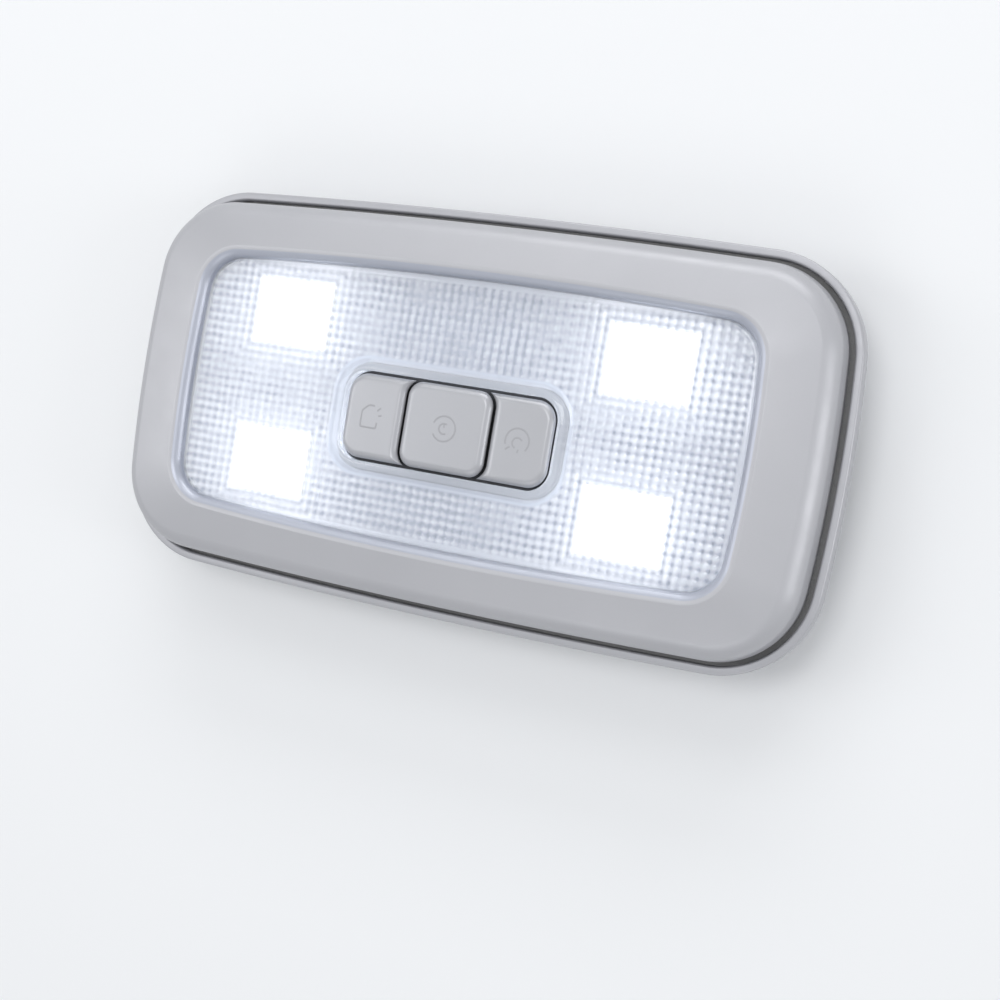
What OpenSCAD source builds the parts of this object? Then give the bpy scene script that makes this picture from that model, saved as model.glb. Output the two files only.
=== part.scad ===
// Car dome light: a clear ribbed lens in a bowed frame, four light panels behind it
// and three push buttons in its middle, on a rear housing that is screwed to the roof.
// The part lies on its back. +Z points out of the face and X runs along the light.
// Sizes are in millimetres, and the origin is the middle of the flat back.

/* [Housing] */
// Outside length of the housing rim
body_length = 180; // [160:1:220]
// Outside width of the housing rim
body_width = 95.5; // [84:0.5:120]
// Corner radius of the housing rim
body_corner_r = 23; // [20:0.5:27]
// Bow radius of the long sides of the rim and frame
long_bow_r = 1950; // [1300:10:3000]
// Bow radius of the short sides of the rim and frame
short_bow_r = 353; // [280:1:600]
// Depth of the housing behind its flange
rear_depth = 12.5; // [11:0.5:20]
// Thickness of the flange
flange_t = 2; // [1.5:0.1:3]
// Width of the upright rim round the flange
rim_w = 1.9; // [1.4:0.1:3]
// Height of the rim above the flange
rim_h = 3; // [2:0.1:5]
// Width of the groove between the rim and the frame
moat_w = 1.1; // [0.6:0.1:2]
// Wall and floor thickness of the rear tray
tray_wall = 2; // [1.5:0.1:3]
// Corner radius of the rear tray
tray_corner_r = 10; // [7:0.5:14]
// Diameter of the two mounting screw holes
screw_hole_d = 4.5; // [3:0.1:5]
// Diameter of the posts that carry the circuit board
post_d = 7; // [6:0.1:9]

/* [Frame] */
// Height of the frame from its lower edge to its face
bezel_h = 12.5; // [11:0.5:16]
// Wall thickness of the frame
bezel_wall = 2.2; // [1.6:0.1:3]
// Radius of the frame's outer shoulder
shoulder_r = 5.2; // [4:0.1:6]
// Slope of the shoulder where it meets the face, in degrees
face_angle = 15; // [12:1:26]
// Drop of the face from the window's edge to the shoulder
face_drop = 1.6; // [1:0.1:2.2]
// Width of the face at the two ends
end_face_w = 14.7; // [13:0.1:18]
// Width of the face along the two long sides
side_face_w = 11.25; // [10.5:0.05:15]
// Corner radius of the window
window_corner_r = 11; // [9:0.5:15]
// Bow radius of the window's long sides
window_long_r = 1046; // [800:10:2000]
// Bow radius of the window's short sides
window_short_r = 310; // [250:1:500]
// Width of the round edge from the face down to the lens
slope_w = 2.4; // [1.5:0.1:3]
// Depth of the round edge from the face down to the lens
slope_d = 2; // [1.5:0.1:3]
// Thickness of the lip that holds the lens
lip_t = 0.8; // [0.6:0.1:1.5]
// Thickness of the foam seal under the frame
seal_t = 1; // [0.5:0.1:2]
// Width of each snap tab under the frame
tab_w = 9; // [6:0.5:14]
// Thickness of each snap tab
tab_t = 1.6; // [1.2:0.1:2]
// Distance from the end of the frame to the nearest snap tab
tab_end_gap = 41; // [32:1:50]

/* [Lens] */
// Thickness of the lens
lens_t = 2; // [1.6:0.1:3]
// Height of the lens above the lip's underside
lens_rise = 0.5; // [0.3:0.1:1]
// Gap between the lens and the frame
lens_gap = 0.4; // [0.2:0.1:0.8]
// Reach of the lens flange past the window
lens_flange = 2.2; // [1.2:0.1:3]
// Smooth border of the lens
lens_border = 1.6; // [1:0.1:4]
// Distance from one lens rib to the next
rib_pitch = 2; // [1.6:0.1:4]
// Depth of the grooves between the lens ribs
rib_depth = 0.35; // [0.2:0.05:0.5]
// Width of the raised collar round the buttons
collar_w = 3.4; // [2:0.1:5]
// Height of the raised collar above the lens
collar_h = 0.6; // [0.3:0.1:1]

/* [Buttons] */
// Length of each of the two side buttons
side_l = 14.8; // [13:0.1:18]
// Width of the row of buttons
row_w = 19.8; // [18:0.2:21]
// Corner radius of the row
row_corner_r = 4.7; // [4:0.1:6]
// Distance of the row from the middle of the window, towards one long side
row_shift = 3.5; // [0:0.5:4]
// Length of the middle button
mid_l = 21.4; // [19:0.2:24]
// Corner radius of the middle button
mid_corner_r = 3.6; // [3:0.1:5]
// Gap between two buttons
button_gap = 0.7; // [0.5:0.1:1]
// Gap between the buttons and the lens
lens_button_gap = 0.7; // [0.5:0.1:1.2]
// How far the middle button stands above the other two
mid_proud = 0.3; // [0:0.1:0.6]
// Travel of a button
travel = 1; // [0.6:0.1:1.2]
// Radius of the button's top edge
button_edge_r = 0.9; // [0.5:0.1:1.1]
// Height of the button's side above its skirt
cap_h = 1.2; // [1.1:0.1:1.6]
// Inset of the skirt that slides in the switch frame
skirt_inset = 1; // [0.8:0.1:1.4]
// Wall thickness of the skirt
skirt_wall = 1.1; // [0.8:0.1:1.3]
// Clearance between the skirt and the switch frame
slide_clear = 0.35; // [0.3:0.05:0.5]
// Side length of a switch
switch_w = 7; // [6:0.1:7.5]
// Diameter of a switch plunger
plunger_d = 3.4; // [2.5:0.1:4.5]

/* [Light] */
// Height of the reflector from the board up to the lens
reflector_h = 3.1; // [3.1:0.1:4.5]
// Wall and floor thickness of the reflector
reflector_t = 0.7; // [0.6:0.05:0.8]
// Thickness of the circuit board
board_t = 1.6; // [1:0.1:2]
// Length of a light panel
panel_l = 19.7; // [16:0.1:21]
// Width of a light panel
panel_w = 15.7; // [12:0.1:16.5]
// Share of the free length beside a light panel that is on its button side
panel_share_x = 0.314; // [0.1:0.01:0.9]
// Share of the free width beside a light panel that is on its inner side
panel_share_y = 0.666; // [0.3:0.01:0.9]
// Gap between the connector and the plane of the flange
connector_drop = 1; // [0.5:0.1:2]
// Length of the connector
connector_l = 14; // [12:0.5:18]
// Width of the connector
connector_w = 14.4; // [13:0.2:18]

/* [Hidden] */

// An outline is [half length, half width, corner radius, long bow, short bow].
// It is eight arcs that meet without a kink, so adding one number to all five
// gives the same outline that much further out.
rim = [body_length / 2, body_width / 2, body_corner_r, long_bow_r, short_bow_r];
frame = grow(rim, -rim_w - moat_w);
window = [frame[0] - end_face_w, frame[1] - side_face_w, window_corner_r, window_long_r, window_short_r];

// Heights, from the back up to the face
seal_z = rear_depth + flange_t;
bezel_z = seal_z + seal_t;
face_z = bezel_z + bezel_h;
lip_z = face_z - slope_d - lip_t;
lens_top = lip_z + lens_rise;
lens_z = lens_top - lens_t;
board_top = lens_z - reflector_h;
board_z = board_top - board_t;
button_top = lens_top + collar_h;
rim_top = seal_z + rim_h;

// The frame's face: a drafted wall, a round shoulder and a straight slope up to the window
draft = 0.45;
wall_h = bezel_h - face_drop - shoulder_r * cos(face_angle);

// The board, reflector and tray follow the window
reflector_inset = 1.5;
board_margin = 0.7;
tray_gap = 2.5;
reflector_edge = grow(window, -reflector_inset);
reflector_wall = 1.2;
board_x = reflector_edge[0] + board_margin;
board_y = reflector_edge[1] + board_margin;
tray_x = board_x + tray_gap + tray_wall;
tray_y = board_y + tray_gap + tray_wall;
collar_top = board_z + 1;
screw_x = (tray_x + frame[0] - bezel_wall) / 2;

// Snap tabs stand just inside the frame's wall and pass through slots in the flange.
// Their noses hook into pockets in its underside, so the seat round them stays flat.
tab_x = frame[0] - tab_end_gap;
tab_gap = 1.65;
tab_y = frame[1] - bezel_wall - tab_gap;
nose_reach = 1.2;
nose_h = 1.6;
nose_gap = 0.1;
slot_clear = 0.3;
pocket_depth = 0.5;

// The row of buttons
row = [mid_l / 2 + button_gap + side_l, row_w / 2, row_corner_r];
mid = [mid_l / 2, row_w / 2, mid_corner_r];
side_x = (mid[0] + button_gap + row[0]) / 2;
roof_t = 1.5;
cap_z = button_top - cap_h;
ceiling_z = button_top - roof_t;
skirt_h = 2.7;
skirt_z = cap_z - skirt_h;
travel_spare = 0.3;
switch_h = 2.4;
switch_floor = 0.3;
press_pad_d = 4.2;
plunger_top = board_top + switch_h + travel + travel_spare;
plunger_z = board_top + switch_floor + travel + travel_spare;
plunger_clear = 0.08;
guide_gap = 0.2;
guide_wall = 2.2;
guide_top = min(cap_z - travel - travel_spare, lens_z - guide_gap);
guide_x = row[0] + guide_wall;
guide_y = row[1] + guide_wall;

// Light panels: a plate with a low dam round its light field
panel_t = 1.6;
dam_inset = 0.7;
dam_w = 0.8;
dam_h = 0.7;
field_h = 0.5;
panel_gap = 0.25;
reflector_floor = lens_z - 2 * reflector_t;
spare_x = reflector_edge[0] - reflector_wall - guide_x - panel_l;
spare_y = reflector_edge[1] - reflector_wall - panel_w;
panel_x = guide_x + panel_share_x * spare_x + panel_l / 2;
panel_y = panel_share_y * spare_y + panel_w / 2;

// The board is screwed to four posts round the switch frame: one at each end of it
// and one between it and each long wall of the reflector
post_gap = 6;
post_x = guide_x + post_gap;
far_post_y = (reflector_edge[1] - reflector_wall + guide_y - row_shift) / 2;
near_post_y = -(reflector_edge[1] - reflector_wall + guide_y + row_shift) / 2;
posts = [[-post_x, 0], [post_x, 0], [0, far_post_y], [0, near_post_y]];

// Connector, opening towards +X behind the flange
connector_h = rear_depth - tray_wall - connector_drop;
shell_t = 1.4;
shell_back = 4;
pin_w = 0.64;
pin_clear = 0.08;
pin_pitch = 3;
pin_recess = 5;
pin_tail = 0.8;
pin_z = tray_wall + connector_h / 2;
pin_leg_x = tray_x - connector_l - 2;

screw_d = 2.5;
screw_clear = 0.05;
screw_l = 8.5;
board_hole_d = screw_d + 0.9;
screw_head_d = 5.6;
screw_head_h = 1.5;

frame_colour = [0.76, 0.77, 0.79];
lens_colour = [0.86, 0.90, 0.97, 0.55];
white_colour = [0.94, 0.95, 0.96];
dark_colour = [0.10, 0.10, 0.11];
metal_colour = [0.75, 0.74, 0.70];

function grow(o, g) = [for (v = o) v + g];

// Centre of the corner arc that touches the long bow and the short bow
function corner_centre(o) =
    let (bow = [0, o[1] - o[3]], end = [o[0] - o[4], 0], d = end - bow, l = norm(d),
         ra = o[3] - o[2], rb = o[4] - o[2], along = (l * l + ra * ra - rb * rb) / (2 * l),
         off = sqrt(ra * ra - along * along))
    bow + along * d / l + off * [d[1], -d[0]] / l;

// Points of a bowed outline, with the same count for every outline
function outline(o, n = 7) =
    let (c = corner_centre(o), ta = atan2(c[1] - o[1] + o[3], c[0]), tb = atan2(c[1], c[0] - o[0] + o[4]),
         q = concat([for (i = [0:2]) arc_point([o[0] - o[4], 0], o[4], tb * i / 3)],
                    [for (i = [0:n - 1]) arc_point(c, o[2], tb + (ta - tb) * i / n)],
                    [for (i = [0:4]) arc_point([0, o[1] - o[3]], o[3], ta + (90 - ta) * i / 4)]))
    four_quarters(q);

function arc_point(c, r, t) = [c[0] + r * cos(t), c[1] + r * sin(t)];

// A full outline from the points of its first quarter, which starts on X and ends on Y
function four_quarters(q) =
    let (m = len(q) - 1)
    concat(q, [for (i = [m - 1:-1:0]) [-q[i][0], q[i][1]]],
           [for (i = [1:m]) -q[i]], [for (i = [m - 1:-1:1]) [q[i][0], -q[i][1]]]);

// Points of a plain rounded rectangle [half length, half width, radius]
function rounded(o, n = 6) =
    [for (k = [0:3], i = [0:n])
        let (sx = (k == 0 || k == 3) ? 1 : -1, sy = k < 2 ? 1 : -1)
        arc_point([sx * (o[0] - o[2]), sy * (o[1] - o[2])], o[2], 90 * k + 90 * i / n)];

// Points of the right button: the end of the row, less the middle button and its gap
function side_button(inset, n = 6) =
    let (o = grow(row, -inset), r = mid[2] + button_gap + inset, cx = mid[0] - mid[2],
         cy = mid[1] - mid[2], tip = asin((o[1] - cy) / r))
    concat([for (i = [0:n]) arc_point([o[0] - o[2], -o[1] + o[2]], o[2], -90 + 90 * i / n)],
           [for (i = [0:n]) arc_point([o[0] - o[2], o[1] - o[2]], o[2], 90 * i / n)],
           [for (i = [0:n]) arc_point([cx, cy], r, tip * (1 - i / n))],
           [for (i = [0:n]) arc_point([cx, -cy], r, -tip * i / n)]);

function mid_button(inset) = rounded(grow(mid, -inset));

// The height and inset of each ring of a button cap, from its ceiling round to its face
function cap_rings(rise) =
    concat([[skirt_inset + skirt_wall, ceiling_z], [skirt_inset + skirt_wall, skirt_z],
            [skirt_inset, skirt_z], [skirt_inset, cap_z], [0, cap_z]],
           [for (i = [0:5])
               let (t = 90 * i / 5)
               [button_edge_r * (1 - cos(t)), button_top + rise - button_edge_r * (1 - sin(t))]]);

// A solid through a stack of rings that all have the same count of points
module loft(rings) {
    n = len(rings[0]);
    m = len(rings);
    side = [for (i = [0:m - 2], j = [0:n - 1], half = [0, 1])
        let (a = i * n + j, b = i * n + (j + 1) % n)
        half == 0 ? [a, b + n, b] : [a, a + n, b + n]];
    first = [for (j = [0:n - 1]) j];
    last = [for (j = [n - 1:-1:0]) (m - 1) * n + j];
    polyhedron([for (r = rings) each r], concat(side, [first], [last]));
}

// A closed band: each entry of section is [outline, height]. The section starts outside,
// goes up, in and down again.
module band(section) {
    rings = [for (s = section) [for (p = outline(s[0])) [p[0], p[1], s[1]]]];
    n = len(rings[0]);
    m = len(rings);
    side = [for (i = [0:m - 1], j = [0:n - 1], half = [0, 1])
        let (a = i * n + j, b = i * n + (j + 1) % n, up = ((i + 1) % m - i) * n)
        half == 0 ? [a, b + up, b] : [a, a + up, b + up]];
    polyhedron([for (r = rings) each r], side);
}

module plate(points, z, t) {
    translate([0, 0, z]) linear_extrude(t) polygon(points);
}

module at_row() {
    translate([0, -row_shift, 0]) children();
}

module at_posts() {
    for (p = posts) translate([p[0], p[1], 0]) children();
}

module at_tabs() {
    for (x = [-tab_x, 0, tab_x], turn = [0, 180])
        rotate(turn) translate([x, 0, 0]) children();
}

// Rear housing: a tray, a flange and an upright rim
module housing() {
    tray = [tray_x, tray_y, tray_corner_r];
    color(frame_colour)
    difference() {
        union() {
            plate(outline(grow(frame, moat_w + rim_w / 2)), rear_depth, flange_t);
            band(rim_section());
            plate(rounded(tray), 0, collar_top);
            gussets();
        }
        difference() {
            plate(rounded(grow(tray, -tray_wall)), tray_wall, collar_top);
            at_posts() cylinder(h = board_z, d = post_d, $fn = 48);
            board_rests();
        }
        at_posts()
            translate([0, 0, board_z - screw_l - 1])
            cylinder(h = screw_l + 2, d = screw_d + 2 * screw_clear, $fn = 32);
        for (sx = [-1, 1])
            translate([sx * screw_x, 0, rear_depth - 1])
            cylinder(h = flange_t + 2, d = screw_hole_d, $fn = 48);
        at_tabs() tab_slot();
        connector_cutout();
        vents();
    }
}

// The rim's section: its top edges are rounded and its outer bottom edge is bevelled
function rim_section() =
    let (outer = moat_w + rim_w, soft = 0.5)
    concat(
        [[grow(frame, outer - soft), rear_depth], [grow(frame, outer), rear_depth + soft]],
        [for (t = [0, 45, 90])
            [grow(frame, outer - soft * (1 - cos(t))), rim_top - soft * (1 - sin(t))]],
        [for (t = [90, 45, 0])
            [grow(frame, moat_w + soft * (1 - cos(t))), rim_top - soft * (1 - sin(t))]],
        [[grow(frame, moat_w), rear_depth]]);

// Ribs on the tray's end walls that the ends of the board lie on
module board_rests() {
    thick = 2;
    lap = 1.5;
    wall_x = tray_x - tray_wall;
    for (sx = [-1, 1], sy = [-1, 1])
        translate([sx * (wall_x + board_x - lap) / 2, sy * board_y / 2, board_z / 2])
        cube([wall_x - board_x + lap + tray_wall, thick, board_z], center = true);
}

// Ribs between the tray and the flange, behind the flange
module gussets() {
    reach = 3.5;
    drop = 8;
    thick = 1.5;
    lap = 0.5;
    for (x = [-1, 1] * (tab_x / 2), turn = [0, 180])
        rotate(turn)
        translate([x - thick / 2, tray_y, rear_depth])
        rotate([90, 0, 90])
        linear_extrude(thick)
        polygon([[-lap, lap], [reach, lap], [reach, -1], [0, -drop], [-lap, -drop]]);
}

module tab_slot() {
    w = tab_w + 2 * slot_clear;
    depth = tab_t + 2 * slot_clear;
    translate([-w / 2, tab_y - tab_t - slot_clear, rear_depth - 1]) {
        cube([w, depth, flange_t + 2]);
        cube([w, depth + nose_reach, 1 + pocket_depth]);
    }
}

// Two groups of slots in the floor let the warm air out
module vents() {
    slot_l = 16;
    slot_w = 2;
    pitch = 4.5;
    for (sx = [-1, 1], i = [-2:2])
        translate([sx * (post_x - post_d / 2) / 2 - slot_l / 2, i * pitch - slot_w / 2, -1])
        cube([slot_l, slot_w, tray_wall + 2]);
}

module connector_cutout() {
    translate([tray_x - tray_wall - 1, -connector_w / 2, tray_wall])
    cube([tray_wall + 2, connector_w, connector_h]);
}

// Foam strip between the frame and the flange
module seal() {
    outer_gap = 0.1;
    under = bezel_wall - 0.3;
    color(dark_colour)
    translate([0, 0, seal_z])
    linear_extrude(seal_t)
    difference() {
        polygon(outline(grow(frame, moat_w - outer_gap)));
        polygon(outline(grow(frame, -under)));
    }
}

// Face frame: a hollow moulding that slopes down to the lens
module bezel() {
    color(frame_colour)
    union() {
        band(bezel_section());
        at_tabs() snap_tab();
    }
}

// The frame's section, from its lower edge up the wall, over the shoulder and the face,
// round the edge of the window down to the lens and back inside the skin
function bezel_section() =
    let (inner_w = bezel_wall + draft, ramp_w = 3, wall_top = bezel_z + wall_h, crest = 16)
    concat(
        [[frame, bezel_z]],
        [for (i = [0:7])
            let (t = (90 - face_angle) * i / 7)
            [grow(frame, -draft - shoulder_r * (1 - cos(t))), wall_top + shoulder_r * sin(t)]],
        [for (i = [0:7])
            let (t = (90 + crest) * i / 7 - crest)
            [grow(window, -slope_w * sin(t)), face_z - slope_d * (1 - cos(t))]],
        [[grow(window, -slope_w), lip_z],
         [grow(frame, -inner_w - ramp_w), lip_z], [grow(frame, -inner_w), wall_top],
         [grow(frame, -bezel_wall), bezel_z]]);

// A tab that reaches down from the frame, with a nose that hooks behind the flange
module snap_tab() {
    nose_top = rear_depth + pocket_depth - nose_gap;
    top = lip_z + 0.5;
    translate([-tab_w / 2, 0, 0])
    rotate([90, 0, 90])
    linear_extrude(tab_w)
    polygon([
        [tab_y - tab_t, nose_top - nose_h], [tab_y, nose_top - nose_h],
        [tab_y + nose_reach, nose_top - 0.4], [tab_y + nose_reach, nose_top],
        [tab_y, nose_top], [tab_y, top], [tab_y - tab_t, top]
    ]);
}

// Clear lens: a plate in the window, a flange under the lip and a collar round the buttons
module lens() {
    plateau = grow(window, -slope_w - lens_gap);
    collar = grow(row, lens_button_gap + collar_w);
    color(lens_colour)
    difference() {
        union() {
            difference() {
                union() {
                    plate(outline(grow(window, lens_flange)), lens_z, lip_z - lens_z);
                    plate(outline(plateau), lens_z, lens_t);
                }
                intersection() {
                    plate(outline(grow(plateau, -lens_border)), lens_z - 1, lens_t + 2);
                    union() {
                        rib_grooves(2 * window[0], 2 * window[1], lens_z, 1);
                        rotate(90) rib_grooves(2 * window[1], 2 * window[0], lens_top, -1);
                    }
                }
            }
            at_row() plate(rounded(collar), lens_z, button_top - lens_z);
        }
        at_row() plate(rounded(grow(row, lens_button_gap)), lens_z - 1, lens_t + 3);
    }
}

// V grooves side by side over length l, each w long, cut into a face at height z.
// The side value is 1 for a face that looks down and -1 for one that looks up.
module rib_grooves(l, w, z, side) {
    count = floor(l / rib_pitch / 2);
    end = (count + 0.5) * rib_pitch;
    half_groove = 0.48 * rib_pitch;
    over = 0.5;
    translate([0, w / 2, 0])
    rotate([90, 0, 0])
    linear_extrude(w)
    polygon(concat(
        [[-end, z - side * over]],
        [for (i = [-count:count], k = [-1, 0, 1])
            [i * rib_pitch + k * half_groove, k == 0 ? z + side * rib_depth : z - side * 0.01]],
        [[end, z - side * over]]
    ));
}

// White reflector: a floor with windows for the panels, and a wall from the board to the lens
module reflector() {
    inside = outline(grow(reflector_edge, -reflector_wall));
    color(white_colour)
    difference() {
        plate(outline(reflector_edge), board_top, reflector_h);
        plate(inside, reflector_floor + reflector_t, reflector_h);
        plate(inside, board_top - 1, reflector_floor - board_top + 1);
        at_panels() translate([0, 0, board_top]) linear_extrude(reflector_h + 1)
            square([panel_l + 2 * panel_gap, panel_w + 2 * panel_gap], center = true);
        at_row() plate(rounded(grow(row, guide_wall + guide_gap)), board_top, reflector_h + 1);
    }
}

module circuit_board() {
    color([0.90, 0.92, 0.90])
    difference() {
        plate(rounded([board_x, board_y, tray_corner_r - tray_gap]), board_z, board_t);
        at_posts() translate([0, 0, board_z - 1]) cylinder(h = board_t + 2, d = board_hole_d, $fn = 32);
        for (i = [-1:1])
            translate([pin_leg_x, i * pin_pitch, board_top])
            cube([pin_w + 2 * pin_clear, pin_w + 2 * pin_clear, 4 * board_t], center = true);
    }
}

module at_panels() {
    for (i = [0:3]) translate(panel_place(i)) children();
}

// Panels 1 and 2 are at the far side, left then right; panels 3 and 4 are at the near side
function panel_place(i) = [(i % 2 == 0 ? -1 : 1) * panel_x, (i < 2 ? 1 : -1) * panel_y, 0];

module light_panel(i) {
    inner = 2 * (dam_inset + dam_w);
    color([1, 1, 0.96])
    translate(panel_place(i) + [0, 0, board_top])
    union() {
        linear_extrude(panel_t) square([panel_l, panel_w], center = true);
        linear_extrude(panel_t + dam_h)
        difference() {
            square([panel_l - 2 * dam_inset, panel_w - 2 * dam_inset], center = true);
            square([panel_l - inner, panel_w - inner], center = true);
        }
        linear_extrude(panel_t + field_h) square([panel_l - inner, panel_w - inner], center = true);
    }
}

// Black frame on the board that guides the three buttons
module switch_frame() {
    inset = skirt_inset - slide_clear;
    color(dark_colour)
    at_row()
    translate([0, 0, board_top])
    linear_extrude(guide_top - board_top)
    difference() {
        polygon(rounded(grow(row, guide_wall)));
        polygon(mid_button(inset));
        polygon(side_button(inset));
        rotate(180) polygon(side_button(inset));
    }
}

module cap(points_at, rise, x) {
    color(frame_colour)
    at_row()
    union() {
        loft([for (r = cap_rings(rise)) [for (p = points_at(r[0])) [p[0], p[1], r[1]]]]);
        translate([x, 0, plunger_top])
            cylinder(h = ceiling_z + roof_t / 2 - plunger_top, d = press_pad_d, $fn = 32);
    }
}

module button_left() {
    cap(function (inset) -side_button(inset), 0, -side_x);
}

module button_middle() {
    cap(function (inset) mid_button(inset), mid_proud, 0);
}

module button_right() {
    cap(function (inset) side_button(inset), 0, side_x);
}

// Push switch on the board, bored for its plunger
module push_switch(x) {
    bore_d = plunger_d + 2 * plunger_clear;
    color(dark_colour)
    translate([x, -row_shift, board_top])
    difference() {
        translate([0, 0, switch_h / 2]) cube([switch_w, switch_w, switch_h], center = true);
        translate([0, 0, switch_floor]) cylinder(h = switch_h, d = bore_d, $fn = 48);
    }
}

module plunger(x) {
    color([0.85, 0.30, 0.20])
    translate([x, -row_shift, plunger_z])
    cylinder(h = plunger_top - plunger_z, d = plunger_d, $fn = 48);
}

// Socket for the lamp lead, in the tray's end wall
module connector() {
    hole_w = pin_w + 2 * pin_clear;
    color(white_colour)
    translate([tray_x - connector_l, 0, pin_z])
    difference() {
        translate([0, -connector_w / 2, -connector_h / 2])
        cube([connector_l, connector_w, connector_h]);
        translate([shell_back, shell_t - connector_w / 2, shell_t - connector_h / 2])
        cube([connector_l, connector_w - 2 * shell_t, connector_h - 2 * shell_t]);
        for (i = [-1:1])
            translate([-1, i * pin_pitch - hole_w / 2, -hole_w / 2])
            cube([shell_back + 2, hole_w, hole_w]);
    }
}

// Three bent pins from the socket up through the board
module connector_pins() {
    color(metal_colour)
    for (i = [-1:1])
        translate([0, i * pin_pitch - pin_w / 2, 0]) {
            translate([pin_leg_x - pin_w / 2, 0, pin_z - pin_w / 2])
            cube([tray_x - pin_recess - pin_leg_x + pin_w / 2, pin_w, pin_w]);
            translate([pin_leg_x - pin_w / 2, 0, pin_z - pin_w / 2])
            cube([pin_w, pin_w, board_top + pin_tail - pin_z + pin_w / 2]);
        }
}

module board_screws() {
    shank_l = screw_l + screw_head_h / 2;
    color(metal_colour)
    at_posts() {
        translate([0, 0, board_top]) cylinder(h = screw_head_h, d = screw_head_d, $fn = 32);
        translate([0, 0, board_top - screw_l]) cylinder(h = shank_l, d = screw_d, $fn = 32);
    }
}

// Small parts on the underside of the board
module resistors() {
    size = [3.2, 1.6, 0.6];
    pitch = 4;
    color(dark_colour)
    for (sx = [-1, 1], i = [-2:2])
        translate([sx * panel_x, i * pitch, board_z - size[2] / 2]) cube(size, center = true);
}

module driver_chip() {
    size = [9, 6, 1.8];
    color(dark_colour)
    translate([-post_x / 2, far_post_y, board_z - size[2] / 2]) cube(size, center = true);
}

module capacitor() {
    can_d = 8;
    can_h = 10;
    color([0.35, 0.38, 0.45])
    translate([post_x / 2, far_post_y, board_z - can_h]) cylinder(h = can_h, d = can_d, $fn = 40);
}

housing();
seal();
bezel();
lens();
reflector();
circuit_board();
light_panel(0);  // light_panel_1
light_panel(1);  // light_panel_2
light_panel(2);  // light_panel_3
light_panel(3);  // light_panel_4
switch_frame();
button_left();
button_middle();
button_right();
push_switch(-side_x);  // switch_left
push_switch(0);  // switch_middle
push_switch(side_x);  // switch_right
plunger(-side_x);  // plunger_left
plunger(0);  // plunger_middle
plunger(side_x);  // plunger_right
connector();
connector_pins();
board_screws();
resistors();
driver_chip();
capacitor();
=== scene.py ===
"""Looks of the car dome light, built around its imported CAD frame. Sizes are in millimetres,
and a mesh is scaled to metres when it is made."""
import math

import bmesh
import bpy
from mathutils import Matrix, Vector


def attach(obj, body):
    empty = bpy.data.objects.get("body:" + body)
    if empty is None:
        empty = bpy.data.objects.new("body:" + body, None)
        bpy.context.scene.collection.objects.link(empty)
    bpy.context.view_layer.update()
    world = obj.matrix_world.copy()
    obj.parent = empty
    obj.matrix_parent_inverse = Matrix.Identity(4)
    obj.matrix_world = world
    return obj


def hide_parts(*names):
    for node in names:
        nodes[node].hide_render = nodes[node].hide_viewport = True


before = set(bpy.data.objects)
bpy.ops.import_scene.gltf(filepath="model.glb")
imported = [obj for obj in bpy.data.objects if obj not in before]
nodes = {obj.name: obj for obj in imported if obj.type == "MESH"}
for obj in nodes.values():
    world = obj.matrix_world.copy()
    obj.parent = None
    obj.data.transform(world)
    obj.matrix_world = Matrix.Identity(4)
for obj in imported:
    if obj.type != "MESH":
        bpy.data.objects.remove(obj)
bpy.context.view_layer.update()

MM = 0.001
LIGHT = "light"

# Sizes from the part

# An outline is [half length, half width, corner radius, long bow, short bow]. A plain
# rounded rectangle has the first three of these.
FRAME = [87.0, 44.75, 20.0, 1947.0, 350.0]
WINDOW = [72.3, 33.5, 11.0, 1046.0, 310.0]
TRAY = [76.0, 37.2, 10.0]
ROW = [26.2, 9.9, 4.7]
MID = [10.7, 9.9, 3.6]
ROW_Y = -3.5
SIDE_X = 18.8

# Rear housing, from the flat back at height 0
REAR_DEPTH, FLANGE_T = 12.5, 2.0
MOAT_W, RIM_W, RIM_TOP = 1.1, 1.9, 17.5
TRAY_WALL, TRAY_TOP = 2.0, 20.0
BOARD_Z = 19.0
POSTS = [(-34.4, 0.0), (34.4, 0.0), (0.0, 19.7), (0.0, -23.2)]
POST_R, SCREW_R, SCREW_L = 3.5, 1.3, 8.5
REST_X, REST_Y, REST_T = (69, 75), 16.35, 2
GUSSET_REACH, GUSSET_DROP, GUSSET_T = 3.5, 8, 1.5
MOUNT_X, MOUNT_R = 80.4, 2.25
VENT_X, VENT_R, VENT_PITCH = (7.45, 23.45), 1.0, 4.5
SOCKET_X, SOCKET_HALF_W, SOCKET_TOP = (73, 77), 7.2, 11.5

# Snap tabs, and the slots and pockets that take them
TAB_X, TAB_Y, TAB_W, TAB_T = 46.0, 40.9, 9.0, 1.6
NOSE_TOP, NOSE_H, NOSE_REACH = 12.9, 1.6, 1.2
SLOT_CLEAR, SLOT_DEPTH = 0.3, 2.2
POCKET_NEAR, POCKET_FAR, POCKET_DEPTH = 0.1, 3.4, 0.5

# Face frame
BEZEL_Z, FACE_Z, BEZEL_WALL = 15.5, 28.0, 2.2
SHOULDER_R, FACE_ANGLE, FACE_DROP, DRAFT = 5.2, math.radians(15), 1.6, 0.45
SLOPE_W, SLOPE_D, LIP_T = 2.4, 2.0, 0.8
LIP_Z = FACE_Z - SLOPE_D - LIP_T

# Lens
LENS_Z, LENS_TOP = 23.7, 25.7
LENS_GAP, LENS_FLANGE, LENS_BORDER = 0.4, 2.2, 1.0
RIB_PITCH, RIB_DEPTH = 2.0, 0.18
COLLAR_W = 3.4

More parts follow.
